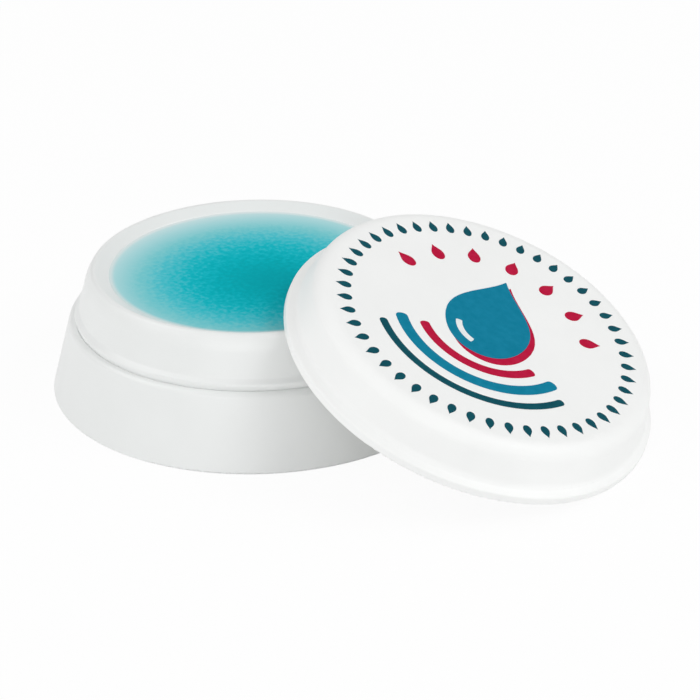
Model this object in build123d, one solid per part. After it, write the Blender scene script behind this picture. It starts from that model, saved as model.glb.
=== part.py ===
from build123d import *
import math
import os

# A finger moistener: a low white jar with a bowl of tacky gel and a push-on lid.
# The lid is off. It leans on the jar, its lip on the bowl's rim and on the table.
# Millimetres. The origin is the centre of the jar's foot, on the table.
# +Z is up, and +X runs from the jar's axis towards the lid.

# Base shell: the flared outer skirt, open underneath
base_radius = 35.0
base_height = 13.1
base_flare = 3.39
shoulder_rounding = 1.2
base_wall = 1.5
foot_rounding = 0.3
web_thickness = 1.4
collar_height = 1.8
collar_wall = 1.2

# Seat of the cup: a shallow recess in the top of the base shell
seat_depth = 0.4
seat_clearance = 0.06
collar_clearance = 0.2

# Cup: the round bowl, its rim and the neck that hangs from the rim
shoulder_ledge = 0.76
neck_height = 7.0
neck_taper = 1.33
neck_wall = 1.75
bead_rise = 0.9
bead_width = 0.9
bead_crown = 0.9
bead_step = 0.25
bead_rounding = 0.6
neck_foot_rounding = 0.8
rim_height = 2.0
rim_taper = 1.2
rim_width = 2.8
rim_dish = 1.35
rim_depth = 2.6
bend_rounding = 6.0
crest_rounding = 0.8
edge_rounding = 0.6
bowl_wall = 1.3
bowl_ground_gap = 1.25

# Gel: fills the bowl to just below its edge
gel_drop = 0.2

# Lid: a shallow cap with a lip to pull it off by, and a sealing disc inside
lid_gap = 1.1
lid_top = 1.4
lid_clearance = 0.15
skirt_wall_low = 1.21
skirt_wall_high = 1.38
lid_rounding = 2.7
lip_height = 2.6
lip_wall = 1.6
lip_overlap = 0.4
lip_slope = 1.1
lip_rounding = 0.4
lip_hollow = 1.5
liner_thickness = 1.0
liner_clearance = 0.3

# Lean of the lid: where its lip touches the rim, counted round from its raised edge
touch_angle = 38.2
lean_clearance = 0.25

# Heights and radii that follow from these sizes
shoulder_radius = base_radius - base_flare
bead_radius = shoulder_radius - shoulder_ledge
neck_foot_radius = bead_radius - bead_width
bend_radius = neck_foot_radius - neck_taper
rim_radius = bend_radius - rim_taper
bowl_radius = rim_radius - rim_width
seat_z = base_height - seat_depth
bead_z = base_height + bead_rise
neck_foot_z = bead_z + bead_crown
bend_z = base_height + neck_height
rim_z = bend_z + rim_height
bowl_z = rim_z - rim_dish
crown_z = rim_z - rim_depth
gel_z = bowl_z - gel_drop
bowl_floor_z = bowl_ground_gap + bowl_wall
bowl_depth = bowl_z - bowl_floor_z
bowl_curve = (bowl_radius**2 + bowl_depth**2) / (2 * bowl_depth)
bowl_centre_z = bowl_floor_z + bowl_curve
cup_foot_radius = bead_radius - bead_step
cup_foot_inner = cup_foot_radius - neck_wall
seat_radius = cup_foot_radius + seat_clearance
collar_outer = cup_foot_inner - collar_clearance
collar_inner = collar_outer - collar_wall
neck_slope = neck_taper / (bend_z - neck_foot_z)
base_slope = base_flare / base_height

# Corners of the cup's section before they are rounded, as radius and height
bead = (bead_radius, bead_z)
neck_foot = (neck_foot_radius, neck_foot_z)
bend = (bend_radius, bend_z)
crest = (rim_radius, rim_z)
edge = (bowl_radius, bowl_z)


def crest_circle():
    """Radius and height of the highest circle on the rounded rim."""
    corner = Vector(*crest)
    outward = (Vector(*bend) - corner).normalized()
    inward = (Vector(*edge) - corner).normalized()
    centre = corner + (outward + inward) * (crest_rounding / outward.cross(inward).length)
    return centre.X, centre.Y + crest_rounding


crest_radius, crest_z = crest_circle()


def neck_radius(z):
    """Outer radius of the neck at a height above the table."""
    return neck_foot_radius - neck_slope * (z - neck_foot_z)


def bowl_arc(z, wall):
    """Section of the bowl's inside from a height down to its lowest point, a wall further out."""
    curve = bowl_curve + wall
    radius = math.sqrt(curve**2 - (bowl_centre_z - z) ** 2)
    return RadiusArc((radius, z), (0, bowl_centre_z - curve), curve)


def base_radius_at(z):
    """Outer radius of the base shell at a height above the table."""
    return base_radius - base_slope * z


def shoulder_fillet():
    """Rounding of the shoulder, kept within the ledge beside the cup."""
    turn = math.pi / 2 - math.atan(base_slope)
    ledge = shoulder_radius - seat_radius
    return min(shoulder_rounding, 0.98 * ledge / math.tan(turn / 2))


def turned(*corners):
    """Solid of revolution about Z from corners given as radius, height, rounding."""
    path = [(radius, height) for radius, height, rounding in corners]
    roundings = [rounding for radius, height, rounding in corners]
    with BuildPart() as body:
        with BuildSketch(Plane.XZ):
            with BuildLine():
                FilletPolyline(*path, radius=roundings, close=True)
            make_face()
        revolve(axis=Axis.Z)
    return body.part


def make_base_shell():
    """Flared skirt with a flat top that carries the cup in a recess round a collar."""
    web_z = seat_z - web_thickness
    return turned(
        (base_radius, 0, foot_rounding),
        (shoulder_radius, base_height, shoulder_fillet()),
        (seat_radius, base_height, 0),
        (seat_radius, seat_z, 0),
        (collar_outer, seat_z, 0),
        (collar_outer, seat_z + collar_height, 0),
        (collar_inner, seat_z + collar_height, 0),
        (collar_inner, web_z, 0),
        (base_radius_at(web_z) - base_wall, web_z, base_wall / 2),
        (base_radius - base_wall, 0, 0),
    )


def make_cup():
    """Bowl and neck in one: the neck's foot stands in the base shell's recess."""
    roundings = {
        bead: bead_rounding,
        neck_foot: neck_foot_rounding,
        bend: bend_rounding,
        crest: crest_rounding,
        edge: edge_rounding,
    }
    with BuildPart() as body:
        with BuildSketch(Plane.XZ) as section:
            with BuildLine():
                inside = bowl_arc(bowl_z, 0)
                outside = bowl_arc(crown_z, bowl_wall)
                Line(inside @ 1, outside @ 1)
                Polyline(
                    outside @ 0,
                    (neck_radius(crown_z) - neck_wall, crown_z),
                    (cup_foot_inner, neck_foot_z),
                    (cup_foot_inner, seat_z),
                    (cup_foot_radius, seat_z),
                    (cup_foot_radius, base_height),
                    bead,
                    neck_foot,
                    bend,
                    crest,
                    edge,
                )
            make_face()
            for corner, rounding in roundings.items():
                fillet(section.vertices().sort_by_distance(corner)[0], rounding)
        revolve(axis=Axis.Z)
    return body.part


def make_gel():
    """Gel that fills the bowl, with a flat top just below the bowl's edge."""
    with BuildPart() as body:
        with BuildSketch(Plane.XZ):
            with BuildLine():
                inside = bowl_arc(gel_z, 0)
                Polyline(inside @ 1, (0, gel_z), inside @ 0)
            make_face()
        revolve(axis=Axis.Z)
    return body.part


# The closed lid rests its sealing disc on the rim, with its lip just over the bead.
# Its inside follows the neck, so its sizes are worked out there.
closed_z = bead_z + lid_gap
lid_height = crest_z - closed_z + liner_thickness + lid_top
ceiling = lid_height - lid_top
lip_inner = bead_radius - lip_overlap
lip_radius = lip_inner + lip_wall
step_inner = lip_height - skirt_wall_low


def skirt_inner(height):
    """Inner radius of the lid's skirt at a height above its lip's lower face."""
    return neck_radius(closed_z + height) + lid_clearance


def make_lid_shell():
    """Cap with a flat top, a tapered skirt and a lip that stands over the bead."""
    skirt_low = skirt_inner(lip_height) + skirt_wall_low
    skirt_high = skirt_inner(lid_height) + skirt_wall_high
    return turned(
        (lip_radius, 0, lip_rounding),
        (lip_radius, lip_height - lip_slope, lip_rounding),
        (skirt_low, lip_height, lip_hollow),
        (skirt_high, lid_height, lid_rounding),
        (0, lid_height, 0),
        (0, ceiling, 0),
        (skirt_inner(ceiling), ceiling, 0),
        (skirt_inner(step_inner), step_inner, 0),
        (lip_inner, step_inner, 0),
        (lip_inner, 0, 0),
    )


def make_lid_liner():
    """Sealing disc against the underside of the lid's top."""
    liner_radius = skirt_inner(ceiling) - liner_clearance
    return turned(
        (0, ceiling - liner_thickness, 0),
        (liner_radius, ceiling - liner_thickness, 0),
        (liner_radius, ceiling, 0),
        (0, ceiling, 0),
    )


def leaning():
    """Place of the lid: lip on the table at one edge and on the rim near the other."""
    touch = math.radians(touch_angle)
    low_radius = lip_radius - lip_rounding
    reach = lip_inner * math.cos(touch)
    lean = math.asin((crest_z + lean_clearance) / (low_radius + reach))
    lid_z = low_radius * math.sin(lean) + lip_rounding * (1 - math.cos(lean))
    across = lip_inner * math.sin(touch)
    lid_x = math.sqrt(crest_radius**2 - across**2) + reach * math.cos(lean)
    return Location((lid_x, 0, lid_z), (0, math.degrees(lean), 0))


place = leaning()
parts = {
    "base_shell": make_base_shell(),
    "cup": make_cup(),
    "gel": make_gel(),
    "lid_shell": place * make_lid_shell(),
    "lid_liner": place * make_lid_liner(),
}

os.makedirs("parts", exist_ok=True)
for node, solid in parts.items():
    export_step(solid, f"parts/{node}.step")
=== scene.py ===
import math

import bpy
from mathutils import Matrix, Vector


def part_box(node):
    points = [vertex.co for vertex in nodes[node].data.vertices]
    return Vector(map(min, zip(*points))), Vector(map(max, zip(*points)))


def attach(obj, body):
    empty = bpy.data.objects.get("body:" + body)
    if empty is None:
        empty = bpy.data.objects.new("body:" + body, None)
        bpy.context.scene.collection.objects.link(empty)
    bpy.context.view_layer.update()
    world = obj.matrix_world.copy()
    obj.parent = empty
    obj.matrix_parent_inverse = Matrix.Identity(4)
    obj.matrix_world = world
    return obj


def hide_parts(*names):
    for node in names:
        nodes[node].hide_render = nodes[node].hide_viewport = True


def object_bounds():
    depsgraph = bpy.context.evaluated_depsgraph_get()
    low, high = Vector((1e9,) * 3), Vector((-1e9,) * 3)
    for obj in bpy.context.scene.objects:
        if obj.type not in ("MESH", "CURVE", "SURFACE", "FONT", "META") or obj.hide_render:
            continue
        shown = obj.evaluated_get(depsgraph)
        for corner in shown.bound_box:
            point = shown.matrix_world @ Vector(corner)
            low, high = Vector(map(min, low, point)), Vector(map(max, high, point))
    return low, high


# Finger moistener: a white plastic jar with a bowl of teal gel, and its lid leaning on it.
# Metres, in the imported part's frame.

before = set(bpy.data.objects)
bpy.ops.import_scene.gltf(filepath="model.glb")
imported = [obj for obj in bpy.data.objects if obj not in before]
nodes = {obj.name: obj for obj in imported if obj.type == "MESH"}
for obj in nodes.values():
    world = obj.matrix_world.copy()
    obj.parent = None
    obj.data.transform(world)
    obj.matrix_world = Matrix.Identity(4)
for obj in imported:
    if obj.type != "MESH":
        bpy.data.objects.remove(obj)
cad_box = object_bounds()
MM = 0.001

# Whites of the mouldings, light and dark, and how rough their satin is
JAR_WHITES = ("#EDEFEE", "#EAECEB")
JAR_ROUGHNESS = 0.32
LID_WHITES = ("#F8F9F8", "#F5F6F5")
LID_ROUGHNESS = 0.50
ROUGHNESS_SPREAD = 0.04

# Gel: it wets the bowl, so its underside lies a hair inside the wall and its edge climbs a little
GEL_SINK = 0.05 * MM
MENISCUS_RISE = 0.15 * MM
MENISCUS_REACH = 1.2 * MM
GEL_SEGMENTS = 144
GEL_RINGS = 24

# Dye of the gel: its tints from the darkest place, 0, to where it is nearly clear, 1
# The darkest place lies off the bowl's axis, towards the lid and the camera: painted shade of the lid
# over the gel, and the gel's deeper look from the camera's side
GEL_DYE_AND_SHADE_CENTRE = (3.0 * MM, -1.75 * MM, 0.0)
GEL_CLEAR = 28.0 * MM
GEL_TINTS = (
    (0.0, "#01A9B5"),
    (0.18, "#03AEB9"),
    (0.32, "#05B6C2"),
    (0.46, "#1CBDCA"),
    (0.61, "#50C6D2"),
    (0.75, "#7FD1D7"),
    (0.89, "#AEDFE3"),
    (1.0, "#D2E8EA"),
)

# Flecks in the gel: how far along the tints they shift it, and between which of them they fade out
FLECK_SHIFT = 0.11
FLECKS_FULL = 0.35
FLECKS_GONE = 0.85

# Edge of the gel: so thin that the white of the bowl takes most of it over
GEL_THIN = 1.0 * MM
GEL_THIN_SHARE = 0.65

# Sealing disc: the rim presses a shallow ring into it
# Foam's darker and lighter tone: the darker one is also painted into the pits of its cut cells as shade
FOAM_TONES_AND_PIT_SHADE = ("#DEDDD6", "#F0F0EB")
RIM_MARK_RADIUS = 27.1 * MM
RIM_MARK_WIDTH = 0.7 * MM
RIM_MARK_DEPTH = 0.12 * MM
DISC_ROUNDING = 0.15 * MM
DISC_SEGMENTS = 128

# Inks, where their film is full and where it is thin, and how far they stand out of the lid and reach in
TEAL_INK = ("#077C9A", "#1283A2")
DARK_TEAL_INK = ("#064A57", "#0D535F")
CRIMSON_INK = ("#B8103A", "#BF1C44")
WHITE_INK = ("#F2F4F4", "#E2ECEE")
INK_PROUD = 0.03 * MM
INK_SUNK = 0.02 * MM

# Print on the lid: a drop over ripples and under a splash, inside a ring of small drops
PRINT_TURN = 17
DROP_WIDTH = 14.5 * MM
DROP_HEIGHT = 22.0 * MM
DROP_RISE = -1.0 * MM
DROP_SHADOW = 1.1 * MM
DROP_STEPS = 12

# Small drops of the print, as their width, height and distance from the print's centre
SPLASH_DROP = (2.2 * MM, 3.8 * MM, 17.6 * MM)
SPLASH_COUNT = 7
SPLASH_SWEEP = 130
RING_DROP = (1.4 * MM, 2.7 * MM, 24.2 * MM)
RING_COUNT = 48
RING_SWEEP = 360 * (RING_COUNT - 1) / RING_COUNT

# Strokes of the print, as the radius, width and sweep of an arc
GLINT = (4.7 * MM, 1.1 * MM, 64)
GLINT_TURN = -48
RIPPLE_NEAR = (11.6 * MM, 1.7 * MM, 116)
RIPPLE_MIDDLE = (15.3 * MM, 2.1 * MM, 128)
RIPPLE_FAR = (19.0 * MM, 1.4 * MM, 116)
STROKE_SEGMENTS = 120
END_ROUNDING = 0.45
END_SEGMENTS = 5

# Sizes of the patterns in the finishes, in millimetres
FLOW_MM = 14
GRAIN_MM = 0.5
FLECK_MM = 0.85
FILM_MM = 1.2
CELL_MM = 0.45
CLOUD_MM = 6
FIBRE_MM = 2.0

# Corners closer than this are merged, and edges that turn by less than this are shaded smooth
MERGE_REACH = 0.001 * MM
SMOOTH_TURN = math.radians(35)

# Studio: soft boxes, as azimuth to the camera's right, elevation and power, on a wide white floor
SOFT_BOXES = {
    "soft_box_left": (-90, 40, 4.0),
    "soft_box_front": (-15, 12, 4.5),
    "soft_box_right": (75, 40, 6.0),
}
SOFT_BOX_SIZE = 0.8
SOFT_BOX_DISTANCE = 1.2
SURROUNDINGS_LIGHT = 0.41
SURROUNDINGS_WHITE = "#FFFFFF"
PAPER_WHITES = ("#F9F9F9", "#FCFCFC")
PAPER_GLOW = 0.94
FLOOR_SIZE = 6.0

# Camera: where it stood, how far it was turned off the jar's foot, and its lens
CAMERA_AZIMUTH = 33.3
CAMERA_ELEVATION = 26.73
CAMERA_DISTANCE = 518.95 * MM
CAMERA_YAW = 1.79
CAMERA_PITCH = -0.50
CAMERA_ROLL = 1.36
LENS_MM = 154.3
SENSOR_MM = 36.0


def lid_axis():
    """Direction in which the lid's flat top faces, read off its sealing disc."""
    disc = nodes["lid_liner"].data
    upward = [face for face in disc.polygons if face.normal.z > 0.5]
    return sum((face.normal * face.area for face in upward), Vector()).normalized()


def along_lid(node):
    """Lowest and highest place of a node's corners along the lid's axis."""
    places = [corner.co.dot(lid_up) for corner in nodes[node].data.vertices]
    return min(places), max(places)


def lid_place(height):
    """Matrix of the plane at a height along the lid's axis: X down the slope, Z out of the lid."""
    low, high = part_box("lid_liner")
    centre = (low + high) / 2
    centre += lid_up * (height - centre.dot(lid_up))
    across = Vector((0, 1, 0))
    slope = across.cross(lid_up)
    return Matrix.Translation(centre) @ Matrix((slope, across, lid_up)).transposed().to_4x4()


# Bowl, read off the gel that fills it
gel_low, gel_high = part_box("gel")
gel_radius = gel_high.x
gel_depth = gel_high.z - gel_low.z
bowl_curve = (gel_radius**2 + gel_depth**2) / (2 * gel_depth)
bowl_centre = gel_low.z + bowl_curve

# Lid, read off its shell and its sealing disc
lid_up = lid_axis()
lid_top = along_lid("lid_shell")[1]
liner_low, liner_high = along_lid("lid_liner")
liner_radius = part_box("lid_liner")[1].y


def linear(colour):
    """Linear RGBA of an sRGB hex colour."""
    parts = [int(colour[i : i + 2], 16) / 255 for i in (1, 3, 5)]
    return [c / 12.92 if c <= 0.04045 else ((c + 0.055) / 1.055) ** 2.4 for c in parts] + [1.0]


def add_node(tree, kind, inputs=None, **settings):
    """Adds a shader node with its settings. An input is a value, or the output that is linked to it."""
    node = tree.nodes.new("ShaderNode" + kind)
    for name, value in settings.items():
        setattr(node, name, value)
    for name, value in (inputs or {}).items():
        if isinstance(value, bpy.types.NodeSocket):
            tree.links.new(value, node.inputs[name])
        else:
            node.inputs[name].default_value = value
    return node


def new_material(name):
    """An empty node material and its tree."""
    material = bpy.data.materials.new(name)
    material.use_nodes = True
    material.node_tree.nodes.clear()
    return material, material.node_tree


def per_mm(size):
    """Scale of a pattern whose features are this many millimetres across."""
    return 1 / (size * MM)


def moulded_polypropylene(name, whites, roughness):
    """White moulded polypropylene: satin, a touch uneven where it flowed, with the mould's fine grain.

    The grain is drawn coarser than it is, so that it shows.
    """
    light, dark = whites
    material, tree = new_material(name)
    place = add_node(tree, "TexCoord").outputs["Object"]
    flow = add_node(tree, "TexNoise", {"Vector": place, "Scale": per_mm(FLOW_MM), "Detail": 3.0})
    grain = add_node(tree, "TexNoise", {"Vector": place, "Scale": per_mm(GRAIN_MM), "Detail": 4.0})
    tone = add_node(
        tree,
        "MapRange",
        {"Value": flow.outputs["Fac"], "From Min": 0.3, "From Max": 0.7},
    )
    colour = add_node(
        tree,
        "Mix",
        {"Factor": tone.outputs["Result"], 6: linear(dark), 7: linear(light)},
        data_type="RGBA",
    )
    satin = add_node(
        tree,
        "MapRange",
        {
            "Value": tone.outputs["Result"],
            "To Min": roughness - ROUGHNESS_SPREAD,
            "To Max": roughness + ROUGHNESS_SPREAD,
        },
    )
    bump = add_node(
        tree,
        "Bump",
        {"Height": grain.outputs["Fac"], "Strength": 0.04, "Distance": 0.02 * MM},
    )
    surface = add_node(
        tree,
        "BsdfPrincipled",
        {
            "Base Color": colour.outputs[2],
            "Roughness": satin.outputs["Result"],
            "IOR": 1.49,
            "Normal": bump.outputs["Normal"],
        },
    )
    add_node(tree, "OutputMaterial", {"Surface": surface.outputs["BSDF"]})
    return material


def glycerine_gel():
    """Dyed glycerine gel, cloudy and softly shiny: a deep teal that pales towards the edge.

    The white bowl shows through it where it is shallow, and fine flecks cloud it further in. Its darkest
    teal lies off the bowl's axis, towards the lid and the camera: painted shade of the lid over the gel,
    and the gel's deeper look from the camera's side.
    """
    material, tree = new_material("glycerine_gel")
    place = add_node(tree, "TexCoord").outputs["Object"]
    level = add_node(tree, "VectorMath", {0: place, 1: (1, 1, 0)}, operation="MULTIPLY")
    # Distance from the darkest place, which is shifted towards the lid as painted shade
    off_dye_and_shade_centre = add_node(
        tree,
        "VectorMath",
        {0: level.outputs["Vector"], 1: GEL_DYE_AND_SHADE_CENTRE},
        operation="DISTANCE",
    )
    reach = add_node(tree, "MapRange", {"Value": off_dye_and_shade_centre.outputs["Value"], "From Max": GEL_CLEAR})
    flecks = add_node(tree, "TexNoise", {"Vector": place, "Scale": per_mm(FLECK_MM), "Detail": 3.0})
    shift = add_node(
        tree,
        "MapRange",
        {
            "Value": flecks.outputs["Fac"],
            "From Min": 0.35,
            "From Max": 0.65,
            "To Min": -FLECK_SHIFT,
            "To Max": FLECK_SHIFT,
        },
    )
    fade = add_node(
        tree,
        "MapRange",
        {
            "Value": reach.outputs["Result"],
            "From Min": FLECKS_FULL,
            "From Max": FLECKS_GONE,
            "To Min": 1.0,
            "To Max": 0.0,
        },
    )
    mottle = add_node(
        tree,
        "Math",
        {0: shift.outputs["Result"], 1: fade.outputs["Result"], 2: reach.outputs["Result"]},
        operation="MULTIPLY_ADD",
    )
    dye = add_node(tree, "ValToRGB", {"Fac": mottle.outputs["Value"]})
    stops = dye.color_ramp.elements
    for share, _ in GEL_TINTS[1:-1]:
        stops.new(share)
    for stop, (_, tint) in zip(stops, GEL_TINTS):
        stop.color = linear(tint)
    off_axis = add_node(tree, "VectorMath", {0: level.outputs["Vector"]}, operation="LENGTH")
    thin = add_node(
        tree,
        "MapRange",
        {
            "Value": off_axis.outputs["Value"],
            "From Min": gel_radius - GEL_THIN,
            "From Max": gel_radius,
            "To Max": GEL_THIN_SHARE,
        },
        interpolation_type="SMOOTHSTEP",
    )
    colour = add_node(
        tree,
        "Mix",
        {"Factor": thin.outputs["Result"], 6: dye.outputs["Color"], 7: linear(JAR_WHITES[0])},
        data_type="RGBA",
    )
    bump = add_node(
        tree,
        "Bump",
        {"Height": flecks.outputs["Fac"], "Strength": 0.2, "Distance": 0.05 * MM},
    )
    surface = add_node(
        tree,
        "BsdfPrincipled",
        {
            "Base Color": colour.outputs[2],
            "Roughness": 0.4,
            "IOR": 1.45,
            "Specular IOR Level": 0.006,
            "Normal": bump.outputs["Normal"],
        },
    )
    add_node(tree, "OutputMaterial", {"Surface": surface.outputs["BSDF"]})
    return material


def screen_ink(name, tones):
    """Screen-printed ink: an even, nearly matt film that lies a little thinner in places."""
    full, thin = tones
    material, tree = new_material(name)
    place = add_node(tree, "TexCoord").outputs["Object"]
    film = add_node(tree, "TexNoise", {"Vector": place, "Scale": per_mm(FILM_MM), "Detail": 4.0})
    cover = add_node(
        tree,
        "MapRange",
        {"Value": film.outputs["Fac"], "From Min": 0.35, "From Max": 0.7},
    )
    colour = add_node(
        tree,
        "Mix",
        {"Factor": cover.outputs["Result"], 6: linear(full), 7: linear(thin)},
        data_type="RGBA",
    )
    bump = add_node(
        tree,
        "Bump",
        {"Height": film.outputs["Fac"], "Strength": 0.1, "Distance": 0.01 * MM},
    )
    surface = add_node(
        tree,
        "BsdfPrincipled",
        {
            "Base Color": colour.outputs[2],
            "Roughness": 0.6,
            "IOR": 1.5,
            "Specular IOR Level": 0.05,
            "Normal": bump.outputs["Normal"],
        },
    )
    add_node(tree, "OutputMaterial", {"Surface": surface.outputs["BSDF"]})
    return material


def polyethylene_foam():
    """Closed-cell polyethylene foam: matt and off-white, pitted all over by its cut cells, with painted
    shade in each pit and a cloudy tone at random.
    """
    shaded, lit = FOAM_TONES_AND_PIT_SHADE
    material, tree = new_material("polyethylene_foam")
    place = add_node(tree, "TexCoord").outputs["Object"]
    cells = add_node(tree, "TexVoronoi", {"Vector": place, "Scale": per_mm(CELL_MM)})
    cloud = add_node(tree, "TexNoise", {"Vector": place, "Scale": per_mm(CLOUD_MM), "Detail": 3.0})
    # Painted shade: the hollow of each cut cell is coloured darker
    pit_shade = add_node(
        tree,
        "MapRange",
        {"Value": cells.outputs["Distance"], "From Max": 0.7, "To Min": 0.0, "To Max": 0.7},
    )
    tone = add_node(
        tree,
        "Math",
        {0: cloud.outputs["Fac"], 1: 0.4, 2: pit_shade.outputs["Result"]},
        operation="MULTIPLY_ADD",
    )
    colour = add_node(
        tree,
        "Mix",
        {"Factor": tone.outputs["Value"], 6: linear(shaded), 7: linear(lit)},
        data_type="RGBA",
    )
    bump = add_node(
        tree,
        "Bump",
        {"Height": cells.outputs["Distance"], "Strength": 0.5, "Distance": 0.08 * MM},
    )
    surface = add_node(
        tree,
        "BsdfPrincipled",
        {
            "Base Color": colour.outputs[2],
            "Roughness": 0.85,
            "IOR": 1.45,
            "Normal": bump.outputs["Normal"],
        },
    )
    add_node(tree, "OutputMaterial", {"Surface": surface.outputs["BSDF"]})
    return material


def seen_directly(tree):
    """1 for what is seen straight, mirrored or through a clear piece, and 0 for bounced light."""
    path = add_node(tree, "LightPath")
    mirrored = add_node(
        tree,
        "Math",
        {0: path.outputs["Is Camera Ray"], 1: path.outputs["Is Glossy Ray"]},
        operation="MAXIMUM",
    )
    through = add_node(
        tree,
        "Math",
        {0: mirrored.outputs["Value"], 1: path.outputs["Is Transmission Ray"]},
        operation="MAXIMUM",
    )
    return through.outputs["Value"]


def paper_sweep():
    """White paper sweep that looks white to the camera and still takes the object's shadow.

    Its fibres are drawn coarser than they are.
    """
    dull, bright = PAPER_WHITES
    material, tree = new_material("white_paper_sweep")
    place = add_node(tree, "TexCoord").outputs["Object"]
    fibre = add_node(tree, "TexNoise", {"Vector": place, "Scale": per_mm(FIBRE_MM), "Detail": 3.0})
    colour = add_node(
        tree,
        "Mix",
        {"Factor": fibre.outputs["Fac"], 6: linear(dull), 7: linear(bright)},
        data_type="RGBA",
    )
    paper = add_node(tree, "BsdfDiffuse", {"Color": colour.outputs[2]})
    glow = add_node(tree, "Emission", {"Strength": 1.0})
    share = add_node(tree, "Math", {0: seen_directly(tree), 1: PAPER_GLOW}, operation="MULTIPLY")
    mix = add_node(
        tree,
        "MixShader",
        {"Fac": share.outputs["Value"], 1: paper.outputs["BSDF"], 2: glow.outputs["Emission"]},
    )
    add_node(tree, "OutputMaterial", {"Surface": mix.outputs["Shader"]})
    return material


def start_piece(add, **settings):
    """Adds a primitive with nothing else selected and opens it in edit mode."""
    bpy.ops.object.select_all(action="DESELECT")
    add(**settings)
    bpy.ops.object.mode_set(mode="EDIT")
    return bpy.context.object


def close_piece(piece, name, material, body, place=None):
    """Leaves edit mode with outward faces, puts the place into the mesh and rides the piece."""
    bpy.ops.mesh.select_all(action="SELECT")
    bpy.ops.mesh.remove_doubles(threshold=MERGE_REACH)
    bpy.ops.mesh.normals_make_consistent(inside=False)
    bpy.ops.object.mode_set(mode="OBJECT")
    if place is not None:
        piece.matrix_world = place @ piece.matrix_world
    bpy.ops.object.transform_apply(location=True, rotation=True, scale=True)
    bpy.ops.object.shade_smooth_by_angle(angle=SMOOTH_TURN)
    piece.name = name
    piece.data.name = name
    piece.data.materials.clear()
    piece.data.materials.append(material)
    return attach(piece, body)


def close_pole(rise):
    """Draws the selected ring together on the axis."""
    bpy.ops.mesh.extrude_region_move(TRANSFORM_OT_translate={"value": (0, 0, rise)})
    bpy.ops.mesh.merge(type="CENTER")


def turn_profile(profile, segments):
    """Turned body, ring by ring from a circle: profile is (radius, height) from pole to pole."""
    rings = profile[1:-1]
    radius, height = rings[0]
    piece = start_piece(bpy.ops.mesh.primitive_circle_add, vertices=segments, radius=radius)
    bpy.ops.mesh.select_all(action="SELECT")
    bpy.ops.transform.translate(value=(0, 0, height))
    first = height
    for next_radius, next_height in rings[1:]:
        rise = next_height - height
        bpy.ops.mesh.extrude_region_move(TRANSFORM_OT_translate={"value": (0, 0, rise)})
        share = next_radius / radius
        bpy.ops.transform.resize(value=(share, share, 1), center_override=(0, 0, next_height))
        radius, height = next_radius, next_height
    close_pole(profile[-1][1] - height)
    bpy.ops.mesh.select_all(action="DESELECT")
    bpy.ops.mesh.select_non_manifold()
    close_pole(profile[0][1] - first)
    return piece


def make_gel(material):
    """Gel that fills the bowl, with a level top that climbs the wall at its edge."""
    curve = bowl_curve + GEL_SINK
    edge_height = gel_high.z + MENISCUS_RISE
    edge_angle = math.acos((bowl_centre - edge_height) / curve)
    below = [edge_angle * ring / GEL_RINGS for ring in range(GEL_RINGS + 1)]
    profile = [(curve * math.sin(angle), bowl_centre - curve * math.cos(angle)) for angle in below]
    edge = profile[-1][0]
    for ring in range(1, GEL_RINGS):
        gap = edge * (ring / GEL_RINGS) ** 2
        rise = MENISCUS_RISE * math.exp(-gap / MENISCUS_REACH)
        profile.append((edge - gap, gel_high.z + rise))
    profile.append((0, gel_high.z))
    piece = turn_profile(profile, GEL_SEGMENTS)
    close_piece(piece, "gel_fill", material, "jar")
    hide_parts("gel")


def make_liner(material):
    """Foam sealing disc with a soft edge and the ring that the rim has pressed into it."""
    thick = liner_high - liner_low
    mark = [
        (RIM_MARK_RADIUS + RIM_MARK_WIDTH * turn / 2, RIM_MARK_DEPTH * (1 - turn**2) ** 2)
        for turn in (-1, -0.75, -0.5, -0.25, 0, 0.25, 0.5, 0.75, 1)
    ]
    low_edge = [
        (
            liner_radius - DISC_ROUNDING * (1 - math.sin(math.radians(turn))),
            DISC_ROUNDING * (1 - math.cos(math.radians(turn))),
        )
        for turn in (0, 30, 60, 90)
    ]
    inner = [(RIM_MARK_RADIUS * share, 0) for share in (0.25, 0.5, 0.75, 0.92)]
    top_edge = [(radius, thick - height) for radius, height in reversed(low_edge)]
    top = [(liner_radius * share, thick) for share in (0.8, 0.5, 0.25)]
    profile = [(0, 0)] + inner + mark + low_edge + top_edge + top + [(0, thick)]
    piece = turn_profile(profile, DISC_SEGMENTS)
    close_piece(piece, "lid_foam_disc", material, "lid", lid_place(liner_low))
    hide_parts("lid_liner")


def print_place(turn=0):
    """Matrix of the print on the lid's top, turned by so many degrees: drops point along its +Y."""
    return lid_place(lid_top) @ Matrix.Rotation(math.radians(PRINT_TURN + turn), 4, "Z")


def pick_top(points):
    """Selects a curve's topmost control point with its handles, and nothing else."""
    bpy.ops.curve.select_all(action="DESELECT")
    point = max(points, key=lambda point: point.co.y)
    point.select_control_point = True
    point.select_left_handle = True
    point.select_right_handle = True


def start_drop(width, height, centre):
    """Flat drop with its point along +Y, as a film of ink: centre is that of its round end."""
    x, y = centre
    piece = start_piece(bpy.ops.curve.primitive_bezier_circle_add, radius=width / 2)
    outline = piece.data.splines[0].bezier_points
    bpy.ops.curve.select_all(action="SELECT")
    bpy.ops.transform.translate(value=(x, y, 0))
    pick_top(outline)
    bpy.ops.curve.handle_type_set(type="VECTOR")
    bpy.ops.transform.translate(value=(0, height - width, 0))
    bpy.ops.object.mode_set(mode="OBJECT")
    piece.data.dimensions = "2D"
    piece.data.fill_mode = "BOTH"
    piece.data.resolution_u = DROP_STEPS
    piece.data.extrude = (INK_PROUD + INK_SUNK) / 2
    bpy.ops.object.convert(target="MESH")
    bpy.ops.object.mode_set(mode="EDIT")
    bpy.ops.mesh.select_all(action="SELECT")
    bpy.ops.transform.translate(value=(0, 0, (INK_PROUD - INK_SUNK) / 2))
    return bpy.context.object


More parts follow.
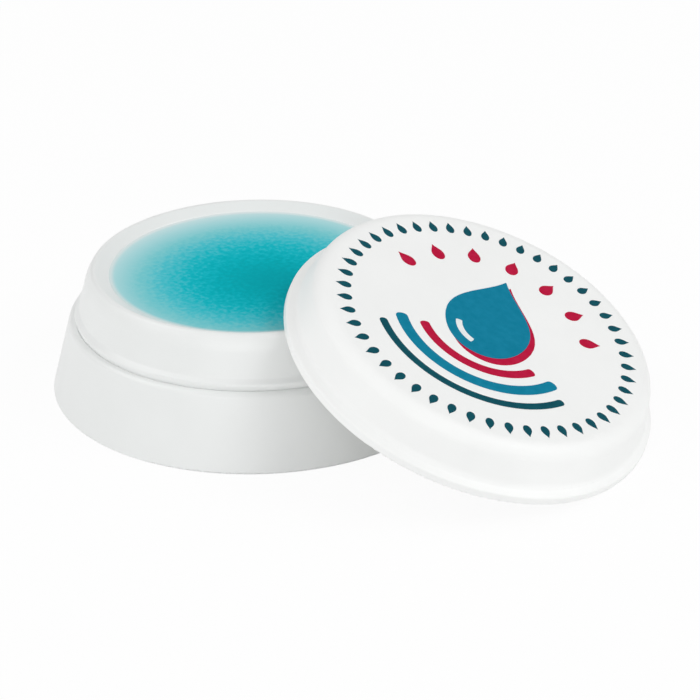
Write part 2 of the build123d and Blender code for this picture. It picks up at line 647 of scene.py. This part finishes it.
def trim_arc(piece, sweep):
    """Deletes the faces of a flat ring that lie outside an arc centred on -Y."""
    bpy.ops.mesh.select_mode(type="FACE")
    bpy.ops.mesh.select_all(action="DESELECT")
    bpy.ops.object.mode_set(mode="OBJECT")
    for face in piece.data.polygons:
        off = math.degrees(abs(math.atan2(face.center.x, -face.center.y)))
        face.select = off > sweep / 2
    bpy.ops.object.mode_set(mode="EDIT")
    bpy.ops.mesh.delete(type="FACE")
    bpy.ops.mesh.select_mode(type="VERT")


def round_ends(piece, width):
    """Rounds the four corners of a flat arc."""
    bpy.ops.mesh.select_all(action="DESELECT")
    bpy.ops.object.mode_set(mode="OBJECT")
    uses = {}
    for edge in piece.data.edges:
        for corner in edge.vertices:
            uses[corner] = uses.get(corner, 0) + 1
    for corner, count in uses.items():
        piece.data.vertices[corner].select = count == 2
    bpy.ops.object.mode_set(mode="EDIT")
    bpy.ops.mesh.bevel(affect="VERTICES", offset=END_ROUNDING * width, segments=END_SEGMENTS)


def make_stroke(name, material, arc, place):
    """Arc-shaped stroke of ink with round ends, centred on -Y of its place."""
    radius, width, sweep = arc
    inner, outer = radius - width / 2, radius + width / 2
    piece = start_piece(bpy.ops.mesh.primitive_circle_add, vertices=STROKE_SEGMENTS, radius=inner)
    bpy.ops.mesh.select_all(action="SELECT")
    bpy.ops.transform.translate(value=(0, 0, -INK_SUNK))
    bpy.ops.mesh.extrude_region_move()
    share = outer / inner
    bpy.ops.transform.resize(value=(share, share, 1), center_override=(0, 0, -INK_SUNK))
    trim_arc(piece, sweep)
    round_ends(piece, width)
    bpy.ops.mesh.select_all(action="SELECT")
    bpy.ops.mesh.extrude_region_move(TRANSFORM_OT_translate={"value": (0, 0, INK_PROUD + INK_SUNK)})
    close_piece(piece, name, material, "lid", place)


def make_drop(material, shadow_material, glint_material):
    """Large drop with a coloured edge on its lower right and a white glint, as three films."""
    piece = start_drop(DROP_WIDTH, DROP_HEIGHT, (0, DROP_RISE))
    close_piece(piece, "ink_drop", material, "lid", print_place())
    shadow = start_drop(DROP_WIDTH, DROP_HEIGHT, (DROP_SHADOW, DROP_RISE - DROP_SHADOW))
    bpy.ops.transform.translate(value=(0, 0, -INK_PROUD / 2))
    close_piece(shadow, "ink_drop_edge", shadow_material, "lid", print_place())
    on_drop = print_place() @ Matrix.Translation((0, DROP_RISE, INK_PROUD / 2))
    aside = Matrix.Rotation(math.radians(GLINT_TURN), 4, "Z")
    make_stroke("ink_drop_glint", glint_material, GLINT, on_drop @ aside)


def make_ring(name, material, drop, count, sweep, turn):
    """Small drops that point outwards, spaced evenly along an arc about the print's centre."""
    width, height, radius = drop
    piece = start_drop(width, height, (0, radius))
    bpy.ops.mesh.spin(
        steps=count - 1,
        dupli=True,
        angle=math.radians(sweep),
        center=(0, 0, 0),
        axis=(0, 0, 1),
    )
    close_piece(piece, name, material, "lid", print_place(turn))


def make_print():
    """Print on the lid's top, in teal, dark teal, crimson and white inks."""
    teal = screen_ink("screen_ink_teal", TEAL_INK)
    dark = screen_ink("screen_ink_dark_teal", DARK_TEAL_INK)
    crimson = screen_ink("screen_ink_crimson", CRIMSON_INK)
    white = screen_ink("screen_ink_white", WHITE_INK)
    make_drop(teal, crimson, white)
    make_stroke("ink_ripple_near", crimson, RIPPLE_NEAR, print_place())
    make_stroke("ink_ripple_middle", teal, RIPPLE_MIDDLE, print_place())
    make_stroke("ink_ripple_far", dark, RIPPLE_FAR, print_place())
    make_ring("ink_splash", crimson, SPLASH_DROP, SPLASH_COUNT, SPLASH_SWEEP, SPLASH_SWEEP / 2)
    make_ring("ink_ring", dark, RING_DROP, RING_COUNT, RING_SWEEP, 0)


def set_material(node, material):
    """Gives a CAD node its finish."""
    mesh = nodes[node].data
    mesh.materials.clear()
    mesh.materials.append(material)


def make_floor():
    """Floor far wider than the view."""
    piece = start_piece(bpy.ops.mesh.primitive_plane_add, size=FLOOR_SIZE)
    bpy.ops.mesh.subdivide(number_cuts=3)
    bpy.ops.object.mode_set(mode="OBJECT")
    piece.name = "floor"
    piece.data.materials.append(paper_sweep())


def make_world():
    """Even white surroundings: white to the camera, dimmer as light on the object."""
    world = bpy.data.worlds.new("studio_surroundings")
    bpy.context.scene.world = world
    world.use_nodes = True
    tree = world.node_tree
    tree.nodes.clear()
    strength = add_node(
        tree,
        "MapRange",
        {"Value": seen_directly(tree), "To Min": SURROUNDINGS_LIGHT, "To Max": 1.0},
    )
    glow = add_node(
        tree,
        "Background",
        {"Color": linear(SURROUNDINGS_WHITE), "Strength": strength.outputs["Result"]},
    )
    add_node(tree, "OutputWorld", {"Surface": glow.outputs["Background"]})


def towards(azimuth, elevation):
    """Direction seen from the object: azimuth runs anticlockwise from -Y, seen from above."""
    turn = math.radians(azimuth)
    rise = math.radians(elevation)
    across = math.cos(rise)
    return Vector((math.sin(turn) * across, -math.cos(turn) * across, math.sin(rise)))


def add_soft_box(name, azimuth, elevation, power):
    """Square soft box aimed at the object: azimuth is counted from the camera, to its right."""
    back = towards(CAMERA_AZIMUTH + azimuth, elevation)
    data = bpy.data.lights.new(name, "AREA")
    data.size = SOFT_BOX_SIZE
    data.energy = power
    lamp = bpy.data.objects.new(name, data)
    bpy.context.scene.collection.objects.link(lamp)
    lamp.location = (cad_box[0] + cad_box[1]) / 2 + back * SOFT_BOX_DISTANCE
    lamp.rotation_euler = (-back).to_track_quat("-Z", "Y").to_euler()


def make_camera():
    """Camera of the photograph's view, aimed at the jar's foot and then turned to frame the object."""
    back = towards(CAMERA_AZIMUTH, CAMERA_ELEVATION)
    right = towards(CAMERA_AZIMUTH + 90, 0)
    aim = Matrix((right, back.cross(right), back)).transposed()
    framing = (
        Matrix.Rotation(-math.radians(CAMERA_YAW), 3, "Y")
        @ Matrix.Rotation(-math.radians(CAMERA_PITCH), 3, "X")
        @ Matrix.Rotation(-math.radians(CAMERA_ROLL), 3, "Z")
    )
    data = bpy.data.cameras.new("camera")
    data.lens = LENS_MM
    data.sensor_width = SENSOR_MM
    camera = bpy.data.objects.new("camera", data)
    bpy.context.scene.collection.objects.link(camera)
    camera.matrix_world = Matrix.Translation(back * CAMERA_DISTANCE) @ (aim @ framing).to_4x4()
    bpy.context.scene.camera = camera


jar_plastic = moulded_polypropylene("moulded_polypropylene_jar", JAR_WHITES, JAR_ROUGHNESS)
lid_plastic = moulded_polypropylene("moulded_polypropylene_lid", LID_WHITES, LID_ROUGHNESS)
set_material("base_shell", jar_plastic)
set_material("cup", jar_plastic)
set_material("lid_shell", lid_plastic)
make_gel(glycerine_gel())
make_liner(polyethylene_foam())
make_print()

make_floor()
make_world()
for box_name, (box_azimuth, box_elevation, box_power) in SOFT_BOXES.items():
    add_soft_box(box_name, box_azimuth, box_elevation, box_power)
make_camera()
bpy.context.scene.view_settings.view_transform = "Standard"
